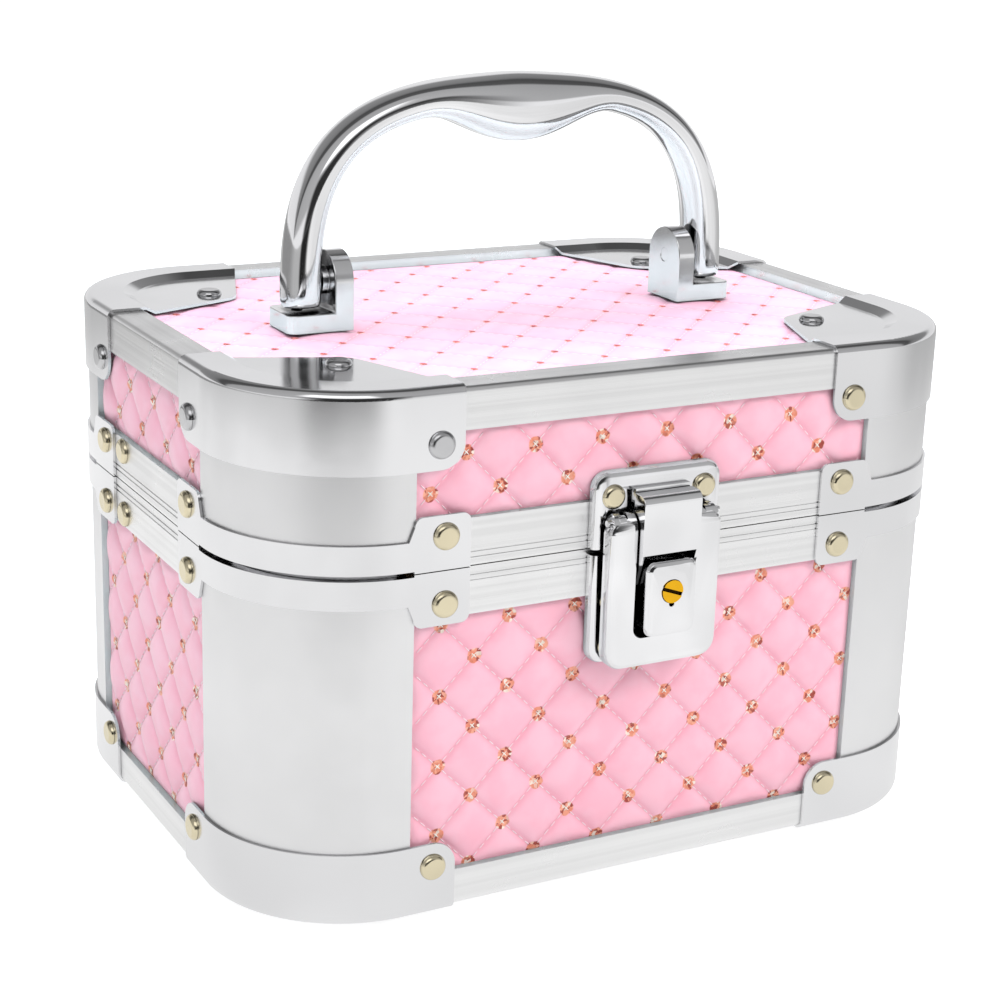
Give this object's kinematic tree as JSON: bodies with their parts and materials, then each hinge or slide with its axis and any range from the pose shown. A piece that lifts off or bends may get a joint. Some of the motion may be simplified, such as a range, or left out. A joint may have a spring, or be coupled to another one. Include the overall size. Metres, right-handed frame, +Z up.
{
  "type": "train case",
  "caption": "Small hard make-up train case with quilted panels in aluminium rails, metal corner caps, a swing-lever key latch, a hinged lid with folding stays and a swing handle",
  "frame": {"origin": "On the plane that the feet stand on, under the middle of the whole object's box", "axes": "+Z up, the long front with the latch faces -Y, the hinges are at +Y, +X to the right seen from the front"},
  "size_m": [0.2296, 0.186, 0.2148],
  "materials": {
    "quilted_leather": "pink quilted imitation leather with a soft sheen and small foil dots where the stitches cross",
    "rails": "extruded aluminium with fine lengthwise lines, satin",
    "corner_sheet": "smooth satin aluminium sheet",
    "chrome": "bright chrome plate",
    "rivets": "nickel plate with a warm tint",
    "hinge_steel": "plated steel",
    "stay_steel": "plated steel strip",
    "lock_brass": "bright brass",
    "board": "plain fibreboard",
    "bottom_board": "dark fibreboard",
    "lining": "short black flock",
    "mirror_frame": "black flock over card",
    "mirror": "silvered glass"
  },
  "bodies": {
    "base": {"base_wall_board": "board", "base_floor_board": "bottom_board", "base_lining": "lining", "base_panel_front": "quilted_leather", "base_panel_back": "quilted_leather", "base_panel_left": "quilted_leather", "base_panel_right": "quilted_leather", "base_corner_columns": "corner_sheet", "base_rim_rails": "rails", "base_edge_rails": "rails", "base_rim_corner_front_left": "chrome", "base_rim_corner_front_right": "chrome", "base_rim_corner_back_left": "chrome", "base_rim_corner_back_right": "chrome", "foot_cap_front_left": "chrome", "foot_cap_front_right": "chrome", "foot_cap_back_left": "chrome", "foot_cap_back_right": "chrome", "foot_rivets": "rivets", "base_rivets": "rivets", "latch_base_plate": "chrome", "lock_housing": "chrome", "hinge_base_leaves": "hinge_steel", "hinge_pins": "hinge_steel"},
    "lid": {"lid_wall_board": "board", "lid_top_board": "board", "lid_lining": "lining", "lid_top_panel": "quilted_leather", "lid_panel_front": "quilted_leather", "lid_panel_back": "quilted_leather", "lid_panel_left": "quilted_leather", "lid_panel_right": "quilted_leather", "lid_corner_columns": "corner_sheet", "lid_rim_rails": "rails", "lid_edge_rails": "rails", "lid_rim_corner_front_left": "chrome", "lid_rim_corner_front_right": "chrome", "lid_rim_corner_back_left": "chrome", "lid_rim_corner_back_right": "chrome", "lid_cap_front_left": "chrome", "lid_cap_front_right": "chrome", "lid_cap_back_left": "chrome", "lid_cap_back_right": "chrome", "lid_rivets": "rivets", "mirror_frame": "mirror_frame", "mirror_glass": "mirror", "handle_bracket_left": "chrome", "handle_bracket_right": "chrome", "handle_pins": "chrome", "latch_keeper": "chrome", "hinge_lid_leaves": "hinge_steel"},
    "handle": {"handle": "chrome"},
    "lever": {"latch_lever": "chrome", "latch_hook_pins": "chrome", "latch_lever_pins": "chrome"},
    "hook": {"latch_hook": "chrome"},
    "key_cylinder": {"lock_cylinder": "lock_brass"},
    "bolt": {"lock_bolt": "chrome"},
    "stay_lower": {"stay_lower_links": "stay_steel"},
    "stay_upper": {"stay_upper_links": "stay_steel"}
  },
  "joints": [
    {"name": "lid_hinge", "type": "hinge", "parent": "base", "child": "lid", "pos_m": [0, 0.09047, 0.09915], "axis": [-1, 0, 0], "range_deg": [0, 100]},
    {"name": "handle_swing", "type": "hinge", "parent": "lid", "child": "handle", "pos_m": [0, 0.00343, 0.15835], "axis": [1, 0, 0], "range_deg": [-88, 88]},
    {"name": "latch_swing", "type": "hinge", "parent": "base", "child": "lever", "pos_m": [0, -0.08618, 0.10735], "axis": [-1, 0, 0], "range_deg": [0, 120]},
    {"name": "hook_follow", "type": "hinge", "parent": "lever", "child": "hook", "pos_m": [0, -0.08618, 0.09095], "axis": [-1, 0, 0], "range_deg": [-120, 0]},
    {"name": "key_turn", "type": "hinge", "parent": "base", "child": "key_cylinder", "pos_m": [0, -0.09058, 0.08825], "axis": [0, 1, 0], "range_deg": [0, 90]},
    {"name": "bolt_slide", "type": "slide", "parent": "base", "child": "bolt", "axis": [0, 0, -1], "range_m": [0, 0.0024]},
    {"name": "stay_lower_turn", "type": "hinge", "parent": "base", "child": "stay_lower", "pos_m": [0, 0.02322, 0.08975], "axis": [-1, 0, 0], "range_deg": [0, 100]},
    {"name": "stay_upper_turn", "type": "hinge", "parent": "lid", "child": "stay_upper", "pos_m": [0, 0.02322, 0.10855], "axis": [-1, 0, 0], "range_deg": [-100, 0]}
  ],
  "couplings": [
    {"joint": "hook_follow", "follows": "latch_swing", "ratio": -1},
    {"joint": "key_turn", "follows": "bolt_slide", "rad_per_m": 654.5},
    {"joint": "stay_lower_turn", "follows": "lid_hinge", "ratio": 1},
    {"joint": "stay_upper_turn", "follows": "lid_hinge", "ratio": -1}
  ]
}
